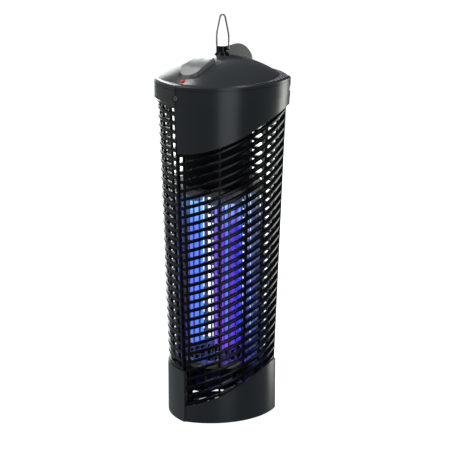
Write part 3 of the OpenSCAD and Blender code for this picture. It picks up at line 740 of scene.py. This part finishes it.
@dataclass
class LampTube:
    """One U-shaped lamp: two straight legs joined by a half-round bend at the bottom."""

    face: Face
    radius: float = 8.75 * MM
    leg_gap: float = 22 * MM
    place: float = 30 * MM

    def build(self) -> bpy.types.Object:
        """Makes the tube and stands it in for its CAD part.

        Returns:
            The tube.
        """
        node = f"lamp_{self.face.name.lower()}"
        low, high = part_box(node)
        bend = low.z + self.leg_gap / 2 + self.radius
        a = np.linspace(0, math.pi, 33)
        along = np.concatenate([[1.0], np.cos(a), [-1.0]]) * self.leg_gap / 2
        z = np.concatenate([[high.z], bend - np.sin(a) * self.leg_gap / 2, [high.z]])
        angle = math.radians(self.face.value)
        outward = np.array([math.cos(angle), math.sin(angle), 0.0])
        sideways = np.array([-math.sin(angle), math.cos(angle), 0.0])
        path = outward * self.place + along[:, None] * sideways + z[:, None] * np.array([0.0, 0.0, 1.0])
        piece = make_piece(f"glowing_{node}", [tube(path, self.radius, outward, 32)])
        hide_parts(node)
        finish_piece(piece, Body.HOUSING, "lamp_glass")
        piece.data.materials[0] = LAMP_LOOKS[self.face].material()
        return piece


@dataclass
class WireLoop:
    """The wire bail: bent-in ends, straight legs, sloping sides and a tight tip."""

    wire: float = 1.15 * MM
    half_width: float = 10 * MM
    pin: float = 6.5 * MM
    leg: float = 20 * MM
    foot_radius: float = 2 * MM
    knee_radius: float = 38 * MM
    tip_radius: float = 4.2 * MM
    rounds: int = 12

    def build(self) -> bpy.types.Object:
        """Makes the loop and stands it in for its CAD part.

        Returns:
            The loop.
        """
        low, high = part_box("bail")
        pivot = np.array([0.0, (low.y + high.y) / 2, low.z + self.wire])
        w = self.half_width
        peak = self.leg + self.side_rise(high.z - self.wire - pivot[2] - self.leg)
        corners = np.array(
            [[w - self.pin, 0, 0], [w, 0, 0], [w, 0, self.leg], [0, 0, peak], [-w, 0, self.leg], [-w, 0, 0],
             [self.pin - w, 0, 0]], float
        )
        radii = [self.foot_radius, self.knee_radius, self.tip_radius, self.knee_radius, self.foot_radius]
        path = pivot + rounded_path(corners, radii)
        piece = make_piece("wire_loop", [tube(path, self.wire, np.array([0.0, 1.0, 0.0]), 16)])
        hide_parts("bail")
        return finish_piece(piece, Body.BAIL, "bail_wire")

    def side_rise(self, top: float) -> float:
        """Height of the corner where the sloping sides would meet above the legs.

        The tip's arc stands r / sin(a) - r below that corner, where a is the sides' lean, so the height
        is the top plus that, found by a few rounds of correction.

        Args:
            top: height of the top of the tip's middle line above the legs.

        Returns:
            The corner's height above the legs.
        """
        rise = top
        for _ in range(self.rounds):
            lean = math.atan2(self.half_width, rise)
            rise = top + self.tip_radius / math.sin(lean) - self.tip_radius
        return rise


@dataclass
class PushButton:
    """The long push button on the dome, with a level top, soft edges and a sloping glossy nose."""

    edge: float = 2.6 * MM
    nose_slope: float = math.radians(32)
    nose_drop: float = 17 * MM
    crease: float = 0.7 * MM
    edge_rings: int = 7
    top_inset: float = 0.35
    middle_inset: float = 0.49
    stem_radius: float = 2.5 * MM
    stem_tip: float = 0.3
    stem_bevel: float = 0.3 * MM
    stem_overlap: float = 1 * MM
    skirt: float = 482 * MM

    def build(self) -> bpy.types.Object:
        """Makes the button and stands it in for its CAD part.

        Returns:
            The button.
        """
        low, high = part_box("power_button")
        length, width = high.y - low.y, high.x - low.x
        centre = np.array([(low.x + high.x) / 2, (low.y + high.y) / 2])
        ring = stadium_ring(length, width)
        unit = np.linspace(0, math.pi / 2, self.edge_rings)
        flat = [self.top_inset * width, self.middle_inset * width]
        inward = np.concatenate([[0.0], self.edge * (1 - np.cos(unit)), flat])
        z = np.concatenate([[self.skirt], high.z - self.edge * (1 - np.sin(unit)), [high.z, high.z]])
        share = 1 - inward[:, None, None] / (width / 2)
        reach = (length - width) / 2
        straight = np.stack([0 * ring[:, 0], np.clip(ring[:, 1], -reach, reach)], -1)
        plan = centre + straight + (ring - straight) * share
        height = np.broadcast_to(z[:, None], plan.shape[:2])
        slope = high.z - self.nose_drop + (plan[..., 1] - low.y) * math.tan(self.nose_slope)
        height = self.soft_lower(height, np.maximum(slope, self.skirt + self.crease))
        height[0] = self.skirt
        shells = [Shell(np.concatenate([plan, height[..., None]], axis=-1))]
        r = self.stem_radius
        foot = self.stem_tip * r
        head = self.skirt + self.stem_overlap
        stem = np.array([[foot, low.z], [r, low.z + self.stem_bevel], [r, head], [foot, head]])
        shells.append(turned(stem, (float(centre[0]), float(centre[1])), 32))
        piece = make_piece("push_button", shells, 60.0)
        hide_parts("power_button")
        return finish_piece(piece, Body.BUTTON, "button_silver")

    def soft_lower(self, a: np.ndarray, b: np.ndarray) -> np.ndarray:
        """The lower of two heights, with the crease between them rounded.

        Half of (a + b) less half of the root of ((a - b) squared + crease squared).
        """
        return (a + b) / 2 - np.sqrt((a - b) ** 2 + self.crease**2) / 2


@dataclass
class IndicatorLens:
    """The small round lens in front of the button."""

    crown: float = 1.0 * MM
    steps: int = 9

    def build(self) -> bpy.types.Object:
        """Makes the shallow domed lens and stands it in for its CAD part.

        Returns:
            The lens.
        """
        low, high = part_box("led_lens")
        radius = (high.x - low.x) / 2
        a = np.linspace(0, math.pi / 2 * 0.97, self.steps)
        dome = np.stack([radius * np.cos(a), high.z - self.crown * (1 - np.sin(a))], axis=-1)
        profile = np.vstack([[radius, low.z], dome])
        piece = make_piece("indicator_lens", [turned(profile, (0.0, (low.y + high.y) / 2), 40)])
        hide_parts("led_lens")
        return finish_piece(piece, Body.HOUSING, "red_lens")


def finish_piece(piece: bpy.types.Object, body: Body, slot: str) -> bpy.types.Object:
    """Puts a piece on its body and gives it its finish.

    Args:
        piece: the new piece.
        body: the body that it rides on.
        slot: the record's material slot.

    Returns:
        The piece.
    """
    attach(piece, body.value)
    piece.data.materials.append(FINISHES[slot].material())
    return piece


def dress_cad_parts() -> int:
    """Gives every CAD part the finish of its record slot.

    Returns:
        How many parts were dressed.
    """
    slots = {part["node"]: part["material_slot"] for part in frame["record"]["subparts"]}
    for name, node in frame["nodes"].items():
        node.data.materials.clear()
        node.data.materials.append(FINISHES[slots[name]].material())
    return len(slots)


# ---------------------------------------------------------------- studio


@dataclass(frozen=True)
class SoftLight:
    """An oblong light: where it stands round the lantern (degrees), how far off, its size and its power."""

    name: str
    azimuth: float
    elevation: float
    away: float
    size: tuple[float, float]
    power: float
    colour: Colour = (1.0, 1.0, 1.0)


LIGHTS: tuple[SoftLight, ...] = (
    SoftLight("left_light", -132, 10, 1.7, (0.85, 1.8), 22.0, (0.97, 1.0, 0.99)),
    SoftLight("front_light", 60, -10, 2.0, (0.9, 0.9), 3.4, (0.9, 0.96, 1.0)),
    SoftLight("right_light", 158, -8, 1.8, (0.6, 1.1), 9.0, (0.95, 1.0, 0.93)),
    *(SoftLight(f"slat_light_{turn % 360}", turn, 62, 2.0, (0.3, 0.2), 4.0) for turn in (-95, -20, 100)),
)


@dataclass
class Studio:
    """The pale floor, the soft lights and the camera."""

    azimuth: float = math.radians(35)
    elevation: float = math.radians(15.4)
    distance: float = 2.66
    lens: float = 153.0
    target: tuple[float, float, float] = (0.0082, 0.0057, 0.2665)
    floor_size: float = 40.0
    floor_drop: float = 0.0005
    floor_glow: float = 0.97
    sky_glow: float = 0.45
    pale_side: tuple[float, float, float] = (-0.95, -0.2, -0.1)

    def build(self) -> None:
        """Makes everything in the studio."""
        self.camera()
        self.floor()
        self.sky()
        for soft in LIGHTS:
            self.light(soft)
        bpy.context.scene.view_settings.view_transform = "Standard"

    def direction(self, azimuth: float, elevation: float) -> Vector:
        """Unit vector from the lantern towards a place round it; azimuth 0 is in front."""
        level = math.cos(elevation)
        return Vector((math.sin(azimuth) * level, -math.cos(azimuth) * level, math.sin(elevation)))

    def camera(self) -> None:
        """Makes the camera and looks through it."""
        data = bpy.data.cameras.new("camera")
        data.lens = self.lens
        data.sensor_width = 36.0
        camera = bpy.data.objects.new("camera", data)
        bpy.context.scene.collection.objects.link(camera)
        away = self.direction(self.azimuth, self.elevation)
        camera.location = Vector(self.target) + away * self.distance
        camera.rotation_euler = away.to_track_quat("Z", "Y").to_euler()
        bpy.context.scene.camera = camera

    def light(self, soft: SoftLight) -> None:
        """Makes one soft oblong light that faces the lantern.

        Args:
            soft: the light's place, size, power and colour.
        """
        data = bpy.data.lights.new(soft.name, "AREA")
        data.energy = soft.power
        data.shape = "RECTANGLE"
        data.size, data.size_y = soft.size
        data.color = soft.colour
        light = bpy.data.objects.new(soft.name, data)
        bpy.context.scene.collection.objects.link(light)
        towards = self.direction(math.radians(soft.azimuth), math.radians(soft.elevation))
        light.location = Vector(self.target) + towards * soft.away
        light.rotation_euler = towards.to_track_quat("Z", "Y").to_euler()

    def floor(self) -> None:
        """Makes the pale floor, which doesn't show in the lantern's gloss."""
        half = self.floor_size / 2
        mesh = bpy.data.meshes.new("floor")
        level = CAD_BOX[0][2] - self.floor_drop
        corners = [(x * half, y * half, level) for x, y in ((-1, -1), (1, -1), (1, 1), (-1, 1))]
        mesh.from_pydata(corners, [], [(0, 1, 2, 3)])
        floor = bpy.data.objects.new("floor", mesh)
        bpy.context.scene.collection.objects.link(floor)
        made = bpy.data.materials.new("pale_floor")
        made.use_nodes = True
        shader = made.node_tree.nodes["Principled BSDF"]
        shader.inputs["Base Color"].default_value = (0.8, 0.8, 0.8, 1.0)
        shader.inputs["Roughness"].default_value = 0.9
        shader.inputs["Emission Color"].default_value = (1.0, 1.0, 1.0, 1.0)
        shader.inputs["Emission Strength"].default_value = self.floor_glow
        mesh.materials.append(made)
        floor.visible_glossy = False
        floor.visible_diffuse = False
        floor.visible_shadow = False

    def sky(self) -> None:
        """Makes the surrounding light: paler to the left of the camera and dark to its right and above."""
        world = bpy.data.worlds.new("studio_light")
        bpy.context.scene.world = world
        world.use_nodes = True
        tree = world.node_tree
        back = tree.nodes["Background"]
        place = tree.nodes.new("ShaderNodeTexCoord")
        dot = tree.nodes.new("ShaderNodeVectorMath")
        dot.operation = "DOT_PRODUCT"
        dot.inputs[1].default_value = self.pale_side
        tree.links.new(place.outputs["Generated"], dot.inputs[0])
        stops = [(0.0, (0.03, 0.035, 0.04)), (0.5, (0.05, 0.055, 0.06)), (0.95, (0.5, 0.52, 0.52))]
        lifted = tree.nodes.new("ShaderNodeMapRange")
        lifted.inputs["From Min"].default_value = -1.0
        tree.links.new(dot.outputs["Value"], lifted.inputs["Value"])
        tree.links.new(ramp(tree, lifted.outputs["Result"], stops), back.inputs["Color"])
        back.inputs["Strength"].default_value = self.sky_glow


def main() -> None:
    """Builds the studio, dresses the CAD parts and makes the new pieces in order."""
    logging.basicConfig(level=logging.INFO, format="%(name)s: %(message)s")
    Studio().build()
    LOG.info("%d CAD parts dressed", dress_cad_parts())
    lantern = Lantern()
    makers = [GuardPanel(lantern, face) for face in Face]
    makers += [LampTube(face) for face in Face]
    makers += [WireLoop(), PushButton(), IndicatorLens()]
    for maker in makers:
        piece = maker.build()
        LOG.info("%s: %d faces", piece.name, len(piece.data.polygons))


if __name__ == "__main__":
    main()
